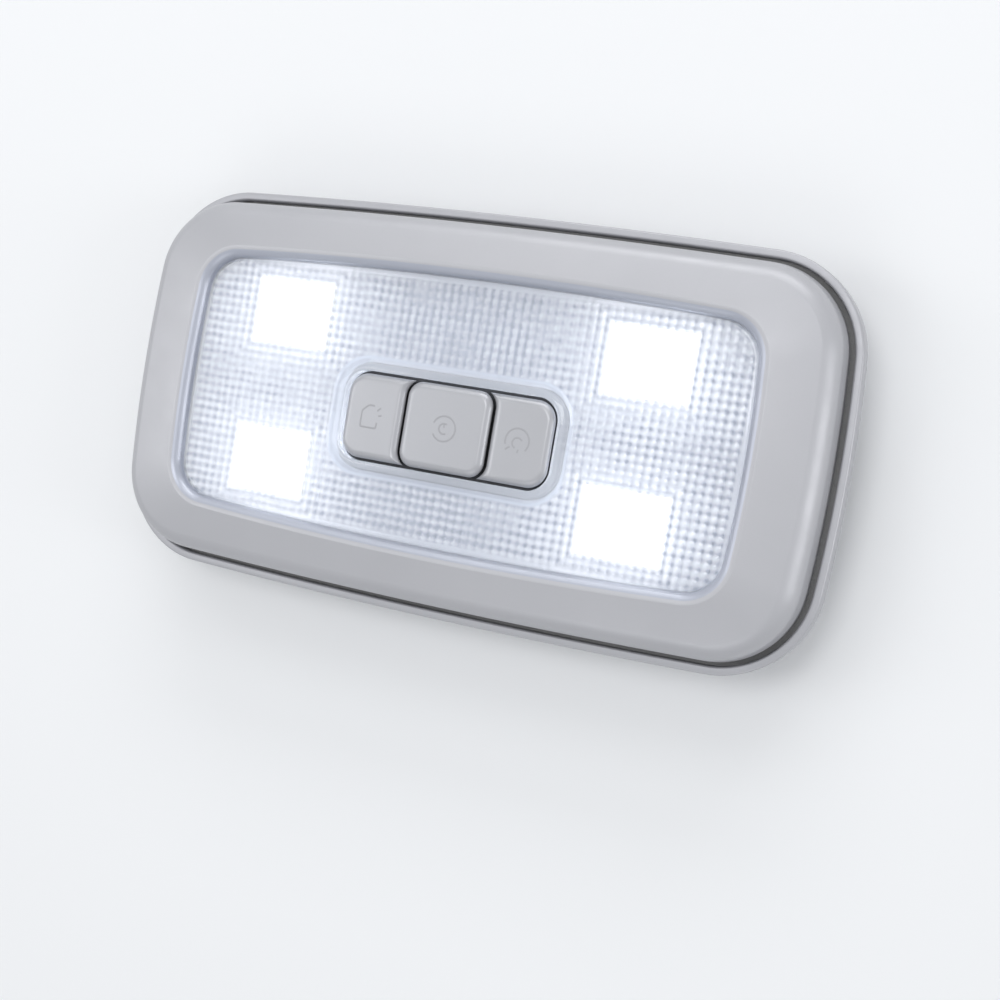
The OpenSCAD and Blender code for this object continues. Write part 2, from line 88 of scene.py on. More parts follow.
# Buttons. The gap is the same between two buttons and round the row.
BUTTON_GAP, MID_PROUD = 0.7, 0.3
BUTTON_TOP, CAP_Z, SKIRT_Z, CEILING_Z = 26.3, 25.1, 22.4, 24.8
SKIRT_INSET, SKIRT_WALL = 1.0, 1.1
PLUNGER_TOP, PAD_D = 24.3, 4.2
EDGE_R, EDGE_H = 1.9, 1.08
# Distance from the row of buttons to the foot of the lens's collar
COLLAR_FOOT = BUTTON_GAP + COLLAR_W

# Light panels
PANEL_X, PANEL_Y, PANEL_L, PANEL_W = 45.0, 17.91, 19.7, 15.7


# Outlines

# Steps along a quarter of an outline: its short side, its corner and its long side
SHORT_N, CORNER_N, LONG_N = 6, 22, 16
QUARTER_TURN = math.pi / 2


def grow(o, g):
    """An outline moved outwards by g."""
    return [v + g for v in o]


def arc_point(c, r, t):
    return (c[0] + r * math.cos(t), c[1] + r * math.sin(t))


def circle(x, y, r, n):
    return [arc_point((x, y), r, 2 * math.pi * k / n) for k in range(n)]


def four_quarters(q):
    """A whole outline from its first quarter, which runs from the X axis to the Y axis."""
    m = len(q) - 1
    left = [(-q[i][0], q[i][1]) for i in range(m - 1, -1, -1)]
    under = [(-q[i][0], -q[i][1]) for i in range(1, m + 1)]
    right = [(q[i][0], -q[i][1]) for i in range(m - 1, 0, -1)]
    return q + left + under + right


def outline(o):
    """Points of a bowed outline: three arcs a quarter that meet without a kink."""
    half_length, half_width, corner_r, long_r, short_r = o
    long_centre = Vector((0, half_width - long_r))
    short_centre = Vector((half_length - short_r, 0))
    d = short_centre - long_centre
    ra = long_r - corner_r
    rb = short_r - corner_r
    along = (d.length ** 2 + ra ** 2 - rb ** 2) / (2 * d.length)
    off = math.sqrt(ra ** 2 - along ** 2)
    corner = long_centre + along * d / d.length + off * Vector((d.y, -d.x)) / d.length
    long_t = math.atan2(corner.y - half_width + long_r, corner.x)
    short_t = math.atan2(corner.y, corner.x - half_length + short_r)
    q = [arc_point(short_centre, short_r, short_t * i / SHORT_N) for i in range(SHORT_N)]
    q += [arc_point(corner, corner_r, short_t + (long_t - short_t) * i / CORNER_N)
          for i in range(CORNER_N)]
    q += [arc_point(long_centre, long_r, long_t + (QUARTER_TURN - long_t) * i / LONG_N)
          for i in range(LONG_N + 1)]
    return four_quarters(q)


def rounded(o, cy=0.0):
    """A rounded rectangle with the same count of points as a bowed outline."""
    x, y, r = o
    q = [(x, (y - r) * i / SHORT_N) for i in range(SHORT_N)]
    q += [arc_point((x - r, y - r), r, QUARTER_TURN * i / CORNER_N) for i in range(CORNER_N)]
    q += [((x - r) * (1 - i / LONG_N), y) for i in range(LONG_N + 1)]
    return [(px, py + cy) for px, py in four_quarters(q)]


def side_button(inset, arc_n=14, edge_n=8):
    """The right button: the end of the row, less the middle button and its gap."""
    x, y, corner_r = grow(ROW, -inset)
    corner_x, corner_y = x - corner_r, y - corner_r
    hollow_r = MID[2] + BUTTON_GAP + inset
    hollow_x, hollow_y = MID[0] - MID[2], MID[1] - MID[2]
    tip = math.asin((y - hollow_y) / hollow_r)
    p = [arc_point((corner_x, -corner_y), corner_r, -QUARTER_TURN + QUARTER_TURN * i / arc_n)
         for i in range(arc_n)]
    p += [(x, -corner_y + 2 * corner_y * i / edge_n) for i in range(edge_n)]
    p += [arc_point((corner_x, corner_y), corner_r, QUARTER_TURN * i / arc_n)
          for i in range(arc_n + 1)]
    p += [arc_point((hollow_x, hollow_y), hollow_r, tip * (1 - i / arc_n)) for i in range(arc_n)]
    p += [(hollow_x + hollow_r, hollow_y - 2 * hollow_y * i / edge_n) for i in range(edge_n)]
    p += [arc_point((hollow_x, -hollow_y), hollow_r, -tip * i / arc_n) for i in range(arc_n + 1)]
    return p


# Shapes, each as its points and its faces

def ring_faces(count, n, closed):
    """Faces between rings of n points each. Closed rings also join the last to the first."""
    faces = []
    for i in range(count if closed else count - 1):
        a = i * n
        b = (i + 1) % count * n
        for j in range(n):
            k = (j + 1) % n
            faces.append((a + j, a + k, b + k, b + j))
    return faces


def at_height(points, z):
    return [(x, y, z) for x, y in points]


def band(section):
    """A ring-shaped solid. Its section is outlines and heights, outside, up, in and down."""
    verts = [v for points, z in section for v in at_height(points, z)]
    return verts, ring_faces(len(section), len(section[0][0]), closed=True)


def tube(rings):
    """A solid through rings of (x, y, z) points, with its first and last ring capped."""
    n = len(rings[0])
    last = (len(rings) - 1) * n
    faces = ring_faces(len(rings), n, closed=False)
    faces += [tuple(reversed(range(n))), tuple(range(last, last + n))]
    return [v for ring in rings for v in ring], faces


def loft(section):
    """A solid through outlines at their heights."""
    return tube([at_height(points, z) for points, z in section])


def prism_x(profile, x0, x1):
    """A (y, z) profile run from x0 to x1."""
    return tube([[(x, y, z) for y, z in profile] for x in (x0, x1)])


def block(x0, x1, y0, y1, z0, z1):
    return prism_x([(y0, z0), (y1, z0), (y1, z1), (y0, z1)], x0, x1)


def rod(x, y, r, z0, z1, n=48):
    """An upright cylinder."""
    points = circle(x, y, r, n)
    return loft([(points, z0), (points, z1)])


def slot_shape(x0, x1, y, r, z0, z1, n=10):
    """A straight slot with round ends."""
    ring = [arc_point((x1 - r, y), r, math.pi * (k / n - 0.5)) for k in range(n + 1)]
    ring += [arc_point((x0 + r, y), r, math.pi * (k / n + 0.5)) for k in range(n + 1)]
    return loft([(ring, z0), (ring, z1)])


def joined(parts):
    """Several shapes as one."""
    verts, faces = [], []
    for v, f in parts:
        faces += [tuple(k + len(verts) for k in face) for face in f]
        verts += v
    return verts, faces


def on_side(side, a, b):
    """The range from a to b on one side of the middle, lowest first."""
    return sorted((side * a, side * b))


# Objects

def mesh_object(name, verts, faces):
    """An object in the scene, from points in millimetres."""
    me = bpy.data.meshes.new(name)
    me.from_pydata([(x * MM, y * MM, z * MM) for x, y, z in verts], [], faces)
    ob = bpy.data.objects.new(name, me)
    bpy.context.scene.collection.objects.link(ob)
    return ob


def solid_object(name, verts, faces):
    """An object whose faces all look outwards, as a boolean needs."""
    ob = mesh_object(name, verts, faces)
    bm = bmesh.new()
    bm.from_mesh(ob.data)
    bmesh.ops.recalc_face_normals(bm, faces=bm.faces)
    bm.to_mesh(ob.data)
    bm.free()
    return ob


def carve(ob, tool, operation):
    """A boolean whose result replaces ob's mesh. The tool is deleted."""
    mod = ob.modifiers.new("carve", "BOOLEAN")
    mod.operation = operation
    mod.object = tool
    mod.solver = "MANIFOLD"
    graph = bpy.context.evaluated_depsgraph_get()
    me = bpy.data.meshes.new_from_object(ob.evaluated_get(graph))
    ob.modifiers.clear()
    ob.data = me
    bpy.data.objects.remove(tool)


def dress(ob, material, slot, body=LIGHT, sharp=30.0, hides=()):
    """A piece's material, shading and body. Its slot is not used. Edges over sharp degrees stay
    crisp.
    """
    ob.data.materials.clear()
    ob.data.materials.append(material)
    for p in ob.data.polygons:
        p.use_smooth = True
    ob.data.set_sharp_from_angle(angle=math.radians(sharp))
    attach(ob, body)
    if hides:
        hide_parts(*hides)


def piece(name, shape, material, slot, **more):
    """A new dressed object. What more may say is the same as for dress."""
    ob = mesh_object(name, *shape)
    ob.data.validate()
    dress(ob, material, slot, **more)
    return ob


# Materials

# Blender's noise lies mostly between these values
NOISE_LOW, NOISE_HIGH = 0.3, 0.7


class Nodes:
    """Short calls for the nodes of one material."""

    def __init__(self, name):
        self.mat = bpy.data.materials.new(name)
        self.mat.use_nodes = True
        self.tree = self.mat.node_tree
        self.tree.nodes.clear()
        self.out = self.new("ShaderNodeOutputMaterial")
        self.shader = self.new("ShaderNodeBsdfPrincipled")
        self.link(self.shader.outputs[0], self.out.inputs["Surface"])
        self.place = self.new("ShaderNodeTexCoord").outputs["Object"]

    def new(self, kind, **values):
        node = self.tree.nodes.new(kind)
        for key, value in values.items():
            setattr(node, key, value)
        return node

    def link(self, output, socket):
        self.tree.links.new(output, socket)

    def put(self, socket, value):
        """Links another node's output to the socket, or sets a plain value on it."""
        if isinstance(value, bpy.types.NodeSocket):
            self.link(value, socket)
        else:
            socket.default_value = value

    def math(self, operation, *values):
        node = self.new("ShaderNodeMath", operation=operation)
        for socket, value in zip(node.inputs, values):
            self.put(socket, value)
        return node.outputs[0]

    def plus(self, a, b):
        return self.math("ADD", a, b)

    def minus(self, a, b):
        return self.math("SUBTRACT", a, b)

    def times(self, a, b):
        return self.math("MULTIPLY", a, b)

    def largest(self, a, b):
        return self.math("MAXIMUM", a, b)

    def absolute(self, a):
        return self.math("ABSOLUTE", a)

    def cosine(self, a):
        return self.math("COSINE", a)

    def exponent(self, a):
        return self.math("EXPONENT", a)

    def xy(self):
        """The place on the object along X and along Y, in metres."""
        node = self.new("ShaderNodeSeparateXYZ")
        self.link(self.place, node.inputs[0])
        return node.outputs[0], node.outputs[1]

    def noise(self, scale, detail=3.0, rough=0.5):
        node = self.new("ShaderNodeTexNoise")
        node.inputs["Scale"].default_value = scale
        node.inputs["Detail"].default_value = detail
        node.inputs["Roughness"].default_value = rough
        self.link(self.place, node.inputs["Vector"])
        return node.outputs[0]

    def span(self, value, low, high, out_low=0.0, out_high=1.0, smooth=False):
        """The value with low to high turned into out_low to out_high, and no further."""
        kind = "SMOOTHSTEP" if smooth else "LINEAR"
        node = self.new("ShaderNodeMapRange", interpolation_type=kind)
        for socket, v in zip(node.inputs, (value, low, high, out_low, out_high)):
            self.put(socket, v)
        return node.outputs[0]

    def drift(self, scale, low, high, detail=3.0):
        """A noise between low and high."""
        return self.span(self.noise(scale, detail), NOISE_LOW, NOISE_HIGH, low, high)

    def mix(self, factor, a, b):
        node = self.new("ShaderNodeMix", data_type="RGBA")
        self.put(node.inputs[0], factor)
        self.put(node.inputs[6], a)
        self.put(node.inputs[7], b)
        return node.outputs[2]

    def bump(self, height, strength, distance):
        node = self.new("ShaderNodeBump")
        node.inputs["Strength"].default_value = strength
        node.inputs["Distance"].default_value = distance
        self.link(height, node.inputs["Height"])
        return node.outputs[0]

    def set(self, **values):
        for key, value in values.items():
            self.put(self.shader.inputs[key.replace("_", " ")], value)


def grey(r, g=None, b=None):
    """A plain grey from one number, or a tinted one from three."""
    return (r, r if g is None else g, r if b is None else b, 1.0)


def moulded(name, low, high, rough, grain=2600.0, grain_depth=0.00001, metallic=0.0):
    """Plastic or metal with a soft colour drift, a roughness drift and a fine moulded grain."""
    cloud_share, speck_share = 0.7, 0.3
    m = Nodes(name)
    cloud = m.noise(35.0)
    speck = m.noise(grain, 2.0, 0.6)
    both = m.plus(m.times(cloud, cloud_share), m.times(speck, speck_share))
    m.set(
        Base_Color=m.mix(m.span(both, NOISE_LOW, NOISE_HIGH), low, high),
        Roughness=m.drift(160.0, *rough, detail=4.0),
        Metallic=metallic,
        Normal=m.bump(speck, 0.5, grain_depth),
    )
    return m.mat


silver = moulded(
    "silver", grey(0.425, 0.428, 0.452), grey(0.45, 0.453, 0.477), (0.36, 0.44),
    grain=3000.0, grain_depth=0.000012, metallic=0.3)
silver_rim = moulded(
    "silver_rim", grey(0.41, 0.413, 0.436), grey(0.434, 0.437, 0.46), (0.36, 0.44),
    grain=3000.0, grain_depth=0.000012, metallic=0.3)
# A darker, bluer silver for the slope to the lens, with the lens's bluish light painted into it as
# a reflection
silver_painted_reflection = moulded(
    "silver_painted_reflection", grey(0.385, 0.405, 0.465), grey(0.415, 0.435, 0.495), (0.32, 0.38),
    grain=3000.0, grain_depth=0.000008, metallic=0.45)
silver_button = moulded(
    "silver_button", grey(0.40, 0.405, 0.428), grey(0.42, 0.425, 0.448), (0.3, 0.34),
    grain=3400.0, grain_depth=0.000004, metallic=0.3)
icon_grey = moulded(
    "icon_grey", grey(0.345, 0.348, 0.37), grey(0.37, 0.373, 0.395), (0.45, 0.55), metallic=0.1)
foam = moulded("foam", grey(0.22), grey(0.27), (0.85, 0.98), grain=1800.0, grain_depth=0.0003)
black_plastic = moulded(
    "black_plastic", grey(0.016, 0.017, 0.02), grey(0.03, 0.031, 0.035), (0.5, 0.62))
white_reflector = moulded(
    "white_reflector", grey(0.42, 0.44, 0.48), grey(0.47, 0.49, 0.53), (0.3, 0.4),
    grain=1200.0, grain_depth=0.00002)
nylon = moulded("nylon", grey(0.74, 0.74, 0.70), grey(0.80, 0.80, 0.77), (0.42, 0.55))
switch_black = moulded("switch_black", grey(0.02), grey(0.035), (0.45, 0.55))
plunger_red = moulded("plunger_red", grey(0.40, 0.09, 0.05), grey(0.48, 0.12, 0.07), (0.4, 0.5))
tin = moulded(
    "tin", grey(0.60, 0.59, 0.55), grey(0.70, 0.69, 0.65), (0.22, 0.34),
    grain=900.0, metallic=1.0)
zinc = moulded(
    "zinc", grey(0.55, 0.56, 0.58), grey(0.66, 0.67, 0.69), (0.25, 0.4),
    grain=900.0, metallic=1.0)
chip_black = moulded("chip_black", grey(0.02, 0.02, 0.022), grey(0.035, 0.035, 0.038), (0.55, 0.7))
can_metal = moulded(
    "can_metal", grey(0.55, 0.57, 0.60), grey(0.65, 0.67, 0.70), (0.28, 0.4), metallic=1.0)


def board_material():
    """White solder mask with faint copper tracks under it."""
    x_tracks, y_tracks, bend, track_strength = 2600.0, 1900.0, 6.0, 0.35
    m = Nodes("board")
    x, y = m.xy()
    stripes = m.math("SINE", m.times(x, x_tracks))
    bends = m.times(m.noise(90.0, 1.0), bend)
    tracks = m.math("SINE", m.plus(m.times(y, y_tracks), bends))
    mask = m.span(m.largest(stripes, tracks), 0.9, 0.96, 0.0, track_strength, smooth=True)
    m.set(
        Base_Color=m.mix(mask, grey(0.76, 0.79, 0.76), grey(0.58, 0.66, 0.58)),
        Roughness=m.drift(300.0, 0.28, 0.4),
        Normal=m.bump(mask, 0.5, 0.00004),
    )
    return m.mat


def resistor_material():
    """Black ceramic with tinned ends, which are its last half millimetre along X."""
    body_end, tin_start = 0.00115, 0.0012
    m = Nodes("resistor")
    x = m.xy()[0]
    from_middle = m.absolute(m.minus(m.absolute(x), PANEL_X * MM))
    end = m.span(from_middle, body_end, tin_start)
    m.set(
        Base_Color=m.mix(end, grey(0.02), grey(0.68, 0.67, 0.63)),
        Metallic=end,
        Roughness=m.drift(900.0, 0.3, 0.5),
        Normal=m.bump(m.noise(2500.0), 0.4, 0.00001),
    )
    return m.mat


def panel_material():
    """Lit panel: a white field with a faint grid of light chips under it."""
    chip_turn = 2 * math.pi / 0.0024
    dim, bright = 0.15, 0.25
    m = Nodes("light_panel")
    x, y = m.xy()
    wave = m.times(m.cosine(m.times(x, chip_turn)), m.cosine(m.times(y, chip_turn)))
    m.set(
        Base_Color=m.mix(m.span(wave, 0.2, 0.8), grey(0.62, 0.63, 0.62), grey(0.58, 0.57, 0.46)),
        Roughness=m.drift(400.0, 0.3, 0.45),
        Emission_Color=grey(0.95, 0.97, 1.0),
        Emission_Strength=m.span(wave, -1.0, 1.0, dim, bright),
        Normal=m.bump(wave, 0.3, 0.00003),
    )
    return m.mat


# Glow painted into the lens as emission, in place of the panels' light that it would scatter and
# bend, with distances in millimetres

# Emission strength of each part of the lens's painted glow
FLOOR_GLOW = 0.006
PANEL_GLOW = 0.143
PATTERN_GLOW = 0.055
GHOST_GLOW = 0.15
COLLAR_GLOW = 0.025
RAISED_GLOW = 0.055
STEP_GLOW = 0.05
BORDER_GLOW = 0.075
CORE_GLOW = 0.6
# How fast the painted glow of a panel fades along X and along Y, and that of its painted ghost
# edges
FADE_X, FADE_Y, GHOST_FADE = -0.08, -0.07, -0.3
# The painted ghost edges' distance from each other, and that of the first from the panel
GHOST_PITCH, GHOST_START = 1.9, 0.1
# Width over which the collar's foot shades into the ribs
FOOT_W = 0.4


def panel_distance(m, x, y):
    """Distances past the nearest light panel's edge, along X and along Y."""
    past_x = m.minus(m.absolute(m.minus(m.absolute(x), PANEL_X)), PANEL_L / 2)
    past_y = m.minus(m.absolute(m.minus(m.absolute(y), PANEL_Y)), PANEL_W / 2)
    return past_x, past_y


def rounded_distance(m, x, y, half_x, half_y, r):
    """Distance past a rounded rectangle, negative inside it."""
    qx = m.minus(m.absolute(x), half_x - r)
    qy = m.minus(m.absolute(y), half_y - r)
    ox, oy = m.largest(qx, 0.0), m.largest(qy, 0.0)
    corner = m.math("SQRT", m.plus(m.times(ox, ox), m.times(oy, oy)))
    inside = m.math("MINIMUM", m.largest(qx, qy), 0.0)
    return m.minus(m.plus(corner, inside), r)


def collar_distance(m, x, y):
    """Distance past the row of buttons."""
    return rounded_distance(m, x, m.minus(y, ROW_Y), *ROW)


def border_area(m, x, y):
    """1 on the smooth border of the lens, 0 inside it."""
    inset = SLOPE_W + LENS_GAP + LENS_BORDER
    edge = rounded_distance(m, x, y, WINDOW[0] - inset, WINDOW[1] - inset, WINDOW[2] - inset)
    return m.span(edge, -0.5, 0.1)


def ribbed_area(m, x, y):
    """1 where the lens has ribs, 0 on its smooth border and collar."""
    inner = m.minus(1.0, border_area(m, x, y))
    return m.times(inner, m.span(collar_distance(m, x, y), COLLAR_FOOT, COLLAR_FOOT + FOOT_W))


def paint_rib_light(m, x, y):
    """The painted play of light in the ribs, from about -1 to 1: painted highlights as lines at
    the top middle and round dots elsewhere, painted shade where two grooves cross, and stronger in
    some places than in others."""
    wander, line_share, cross_start, crossing_shade_depth, fine_depth = 0.45, 0.6, 0.35, 2.4, 0.3
    turn = 2 * math.pi / RIB_PITCH
    shift = m.times(m.minus(m.noise(150.0, 1.0), 0.5), wander)
    wave_x = m.cosine(m.times(m.plus(x, shift), turn))
    wave_y = m.cosine(m.times(m.plus(y, shift), turn))
    lines = m.times(m.span(m.absolute(x), 14.0, 26.0, 1.0, 0.0), m.span(y, 6.0, 10.0))
    share_x = m.times(m.plus(m.times(lines, line_share), 1.0), -0.5)
    share_y = m.times(m.minus(1.0, m.times(lines, line_share)), -0.5)
    wave = m.plus(m.times(wave_x, share_x), m.times(wave_y, share_y))
    # Painted shade where two grooves cross
    crossing = m.largest(m.minus(m.times(wave, -1.0), cross_start), 0.0)
    crossing_shade = m.times(crossing, m.span(m.noise(330.0, 1.0), 0.42, 0.62, 0.0, crossing_shade_depth))
    strength = m.span(m.noise(70.0, 2.0), 0.36, 0.6, 0.3, 1.0)
    level = m.times(m.minus(wave, crossing_shade), strength)
    level = m.plus(level, m.drift(520.0, -fine_depth, fine_depth, 1.0))
    return m.times(level, ribbed_area(m, x, y))


def lens_material():
    """Clear ribbed plastic; the panels' glow, their images and the light in the ribs are painted
    on as emission and colour.
    """
    m = Nodes("clear_lens")
    x, y = (m.times(v, 1 / MM) for v in m.xy())
    past_x, past_y = panel_distance(m, x, y)
    edge = m.largest(past_x, past_y)
    fade_x = m.times(m.largest(past_x, 0.0), FADE_X)
    fade_y = m.times(m.largest(past_y, 0.0), FADE_Y)
    glow = m.exponent(m.plus(fade_x, fade_y))
    # The painted white field over each panel, and faint painted copies of its edge further out
    core = m.span(edge, -0.7, 0.1, 1.0, 0.0, smooth=True)
    ghost = m.cosine(m.times(m.minus(edge, GHOST_START), 2 * math.pi / GHOST_PITCH))
    ghost = m.times(ghost, m.exponent(m.times(m.largest(edge, 0.0), GHOST_FADE)))
    rib_light = paint_rib_light(m, x, y)
    # Painted glow on all of the collar and its raised middle, and a painted highlight line at its
    # first step
    around = collar_distance(m, x, y)
    collar = m.span(around, COLLAR_FOOT, COLLAR_FOOT + FOOT_W, 1.0, 0.0)
    raised = m.span(around, COLLAR_FOOT - 1.9, COLLAR_FOOT - 1.4, 1.0, 0.0)
    step_highlight = m.span(m.absolute(m.minus(around, COLLAR_FOOT - 0.3)), 0.1, 0.45, 1.0, 0.0)
    level = m.plus(m.times(glow, PANEL_GLOW), FLOOR_GLOW)
    for area, strength in (
            (rib_light, PATTERN_GLOW), (ghost, GHOST_GLOW), (collar, COLLAR_GLOW),
            (raised, RAISED_GLOW), (step_highlight, STEP_GLOW),
            (border_area(m, x, y), BORDER_GLOW), (core, CORE_GLOW)):
        level = m.plus(level, m.times(area, strength))
    # The colour is lighter on the painted highlights of the ribs and darker in their painted
    # shade, and the collar's painted glow is bluer
    m.set(
        Base_Color=m.mix(
            m.span(rib_light, -1.2, 1.0), grey(0.54, 0.565, 0.63), grey(0.86, 0.87, 0.90)),
        Roughness=m.drift(220.0, 0.06, 0.12),
        IOR=1.49,
        Transmission_Weight=0.75,
        Emission_Color=m.mix(collar, grey(0.97, 0.985, 1.0), grey(0.80, 0.88, 1.0)),
        Emission_Strength=m.largest(level, 0.0),
    )
    # Shadow rays pass to the reflector, as light does through thin clear plastic
    path = m.new("ShaderNodeLightPath")
    clear = m.new("ShaderNodeBsdfTransparent")
    m.put(clear.inputs[0], grey(0.9, 0.93, 0.97))
    both = m.new("ShaderNodeMixShader")
    m.link(path.outputs["Is Shadow Ray"], both.inputs[0])
    m.link(m.shader.outputs[0], both.inputs[1])
    m.link(clear.outputs[0], both.inputs[2])
    m.link(both.outputs[0], m.out.inputs["Surface"])
    return m.mat


# Rear housing

def flange_section():
    """The flange and the rim, whose edges are rounded by the radius soft."""
    outer, soft, chamfer, steps = MOAT_W + RIM_W, 0.5, 0.15, 6
    s = [(outer - soft, REAR_DEPTH), (outer - chamfer, REAR_DEPTH + chamfer),
         (outer, REAR_DEPTH + soft)]
    for i in range(steps + 1):
        t = QUARTER_TURN * i / steps
        s.append((outer - soft * (1 - math.cos(t)), RIM_TOP - soft * (1 - math.sin(t))))
    for i in range(steps + 1):
        t = QUARTER_TURN * (1 - i / steps)
        s.append((MOAT_W + soft * (1 - math.cos(t)), RIM_TOP - soft * (1 - math.sin(t))))
    s.append((MOAT_W, REAR_DEPTH + FLANGE_T))
    inside = rounded(grow(TRAY, -TRAY_WALL / 2))
    return [(outline(grow(FRAME, g)), z) for g, z in s] + [
        (inside, REAR_DEPTH + FLANGE_T), (inside, REAR_DEPTH)]


def tray_shape():
    """A tray with a rounded bottom edge."""
    soft, chamfer = 0.6, 0.18
    inner = rounded(grow(TRAY, -TRAY_WALL))
    return loft([
        (rounded(grow(TRAY, -soft)), 0.0), (rounded(grow(TRAY, -chamfer)), chamfer),
        (rounded(TRAY), soft), (rounded(TRAY), TRAY_TOP), (inner, TRAY_TOP), (inner, TRAY_WALL)])


def housing_ribs():
    """The posts and rests that carry the board, and the gussets under the flange."""
    half_t, lap = REST_T / 2, 0.5
    shapes = [rod(x, y, POST_R, TRAY_WALL - 1, BOARD_Z) for x, y in POSTS]
    shapes += [
        block(*on_side(sx, *REST_X), sy * REST_Y - half_t, sy * REST_Y + half_t,
              TRAY_WALL - 1, BOARD_Z)
        for sx in (-1, 1) for sy in (-1, 1)]
    gusset = [(-lap, lap), (GUSSET_REACH, lap), (GUSSET_REACH, -1), (0, -GUSSET_DROP),
              (-lap, -GUSSET_DROP)]
    for x in (-TAB_X / 2, TAB_X / 2):
        for side in (1, -1):
            profile = [(side * (TRAY[1] + a), REAR_DEPTH + b) for a, b in gusset]
            shapes.append(prism_x(profile, x - GUSSET_T / 2, x + GUSSET_T / 2))
    return shapes


def housing_holes():
    """Screw holes, vents, the socket's opening and the slots for the snap tabs."""
    shapes = [rod(x, y, SCREW_R, BOARD_Z - SCREW_L - 1, BOARD_Z + 1) for x, y in POSTS]
    shapes += [rod(sx * MOUNT_X, 0, MOUNT_R, REAR_DEPTH - 1, REAR_DEPTH + 4) for sx in (-1, 1)]
    shapes += [slot_shape(*on_side(sx, *VENT_X), i * VENT_PITCH, VENT_R, -1, TRAY_WALL + 1)
               for sx in (-1, 1) for i in range(-2, 3)]
    shapes.append(block(*SOCKET_X, -SOCKET_HALF_W, SOCKET_HALF_W, TRAY_WALL, SOCKET_TOP))
    return shapes + tab_openings(0.0, SLOT_DEPTH, FLANGE_T + 1)


def tab_openings(near, far, height):
    """Openings for all six snap tabs, from under the flange to a height above its underside."""
    half = TAB_W / 2 + SLOT_CLEAR
    start = TAB_Y - TAB_T - SLOT_CLEAR
    return [
        block(x - half, x + half, *on_side(side, start + near, start + far),
              REAR_DEPTH - 1, REAR_DEPTH + height)
        for x in (-TAB_X, 0.0, TAB_X) for side in (1, -1)]


def build_housing():
    ob = solid_object("housing_shell", *band(flange_section()))
    pockets = tab_openings(POCKET_NEAR, POCKET_FAR, POCKET_DEPTH)
    for shapes, operation in (([tray_shape()], "UNION"), (housing_ribs(), "UNION"),
                              (housing_holes(), "DIFFERENCE"), (pockets, "DIFFERENCE")):
        carve(ob, solid_object("tool", *joined(shapes)), operation)
    dress(ob, silver_rim, "housing_plastic", hides=("housing",))


build_housing()


# Face frame

# Rings of the slope to the lens that take the darker, bluer silver with the lens's light painted
# in as a reflection, counted from its foot
BEVEL_RINGS = 16


def bezel_section():
    """The frame's section, and which of its rings take the silver with the painted reflection."""
    wall_top = FACE_Z - FACE_DROP - SHOULDER_R * math.cos(FACE_ANGLE)
    # A foot set back from a thin bead
    foot, bead_z = 0.25, 18.6
    bead = [(-foot, bead_z - 0.2), (-foot + 0.08, bead_z - 0.05), (-0.1, bead_z),
            (-0.05, bead_z + 0.12), (-0.06, bead_z + 0.35)]
    s = [(grow(FRAME, g), z) for g, z in [(-foot, BEZEL_Z)] + bead]
    # A round shoulder
    steps = 20
    for i in range(steps + 1):
        t = (QUARTER_TURN - FACE_ANGLE) * i / steps
        s.append((grow(FRAME, -DRAFT - SHOULDER_R * (1 - math.cos(t))),
                  wall_top + SHOULDER_R * math.sin(t)))
    # A crest round the window, which starts a little outside its edge
    start, crest, crest_r, crest_steps = 0.3, math.radians(14), 0.8, 5
    for i in range(crest_steps):
        t = crest * (i / crest_steps - 1)
        s.append((grow(WINDOW, start - crest_r * math.sin(t)),
                  FACE_Z - crest_r * (1 - math.cos(t))))
    # A round slope down to the lens
    steep, slope_r, slope_h = math.radians(80), 2.7, 1.9
    for i in range(steps + 1):
        t = steep * i / steps
        s.append((grow(WINDOW, start - slope_r * math.sin(t)),
                  FACE_Z - slope_h * (1 - math.cos(t))))
    bevel_start = len(s) - BEVEL_RINGS
    s.append((grow(WINDOW, -SLOPE_W), FACE_Z - slope_h))
    bevel_end = len(s)
    # The lip and the inside
    ramp_w = 3.0
    s += [(grow(WINDOW, -SLOPE_W), LIP_Z), (grow(FRAME, -BEZEL_WALL - DRAFT - ramp_w), LIP_Z),
          (grow(FRAME, -BEZEL_WALL - DRAFT), wall_top), (grow(FRAME, -BEZEL_WALL), BEZEL_Z)]
    return [(outline(o), z) for o, z in s], bevel_start, bevel_end


def snap_tab(x, side):
    """A tab under the frame, with a nose at its end that hooks into the flange."""
    top, nose_slope = LIP_Z + 0.5, 0.4
    nose_y = TAB_Y + NOSE_REACH
    nose_z = NOSE_TOP - NOSE_H
    p = [(TAB_Y - TAB_T, nose_z), (TAB_Y, nose_z), (nose_y, NOSE_TOP - nose_slope),
         (nose_y, NOSE_TOP), (TAB_Y, NOSE_TOP), (TAB_Y, top), (TAB_Y - TAB_T, top)]
    if side < 0:
        p = [(-y, z) for y, z in reversed(p)]
    return prism_x(p, x - TAB_W / 2, x + TAB_W / 2)


def build_bezel():
    section, bevel_start, bevel_end = bezel_section()
    tabs = [snap_tab(x, side) for x in (-TAB_X, 0.0, TAB_X) for side in (1, -1)]
    ob = piece("bezel_shell", joined([band(section)] + tabs), silver, "silver_frame",
               hides=("bezel",))
    # The slope to the lens takes the silver with the painted reflection of the lens's light
    ob.data.materials.append(silver_painted_reflection)
    n = len(section[0][0])
    for index in range(bevel_start * n, bevel_end * n):
        ob.data.polygons[index].material_index = 1


build_bezel()


# Lens

# The field that the ribs are cut from, as counts of ribs and as half sizes
RIBS_X, RIBS_Y = 69, 31
FIELD_X, FIELD_Y = RIBS_X * RIB_PITCH / 2, RIBS_Y * RIB_PITCH / 2
# Steps across one rib on top and on the underside
TOP_STEPS, UNDER_STEPS = 6, 8


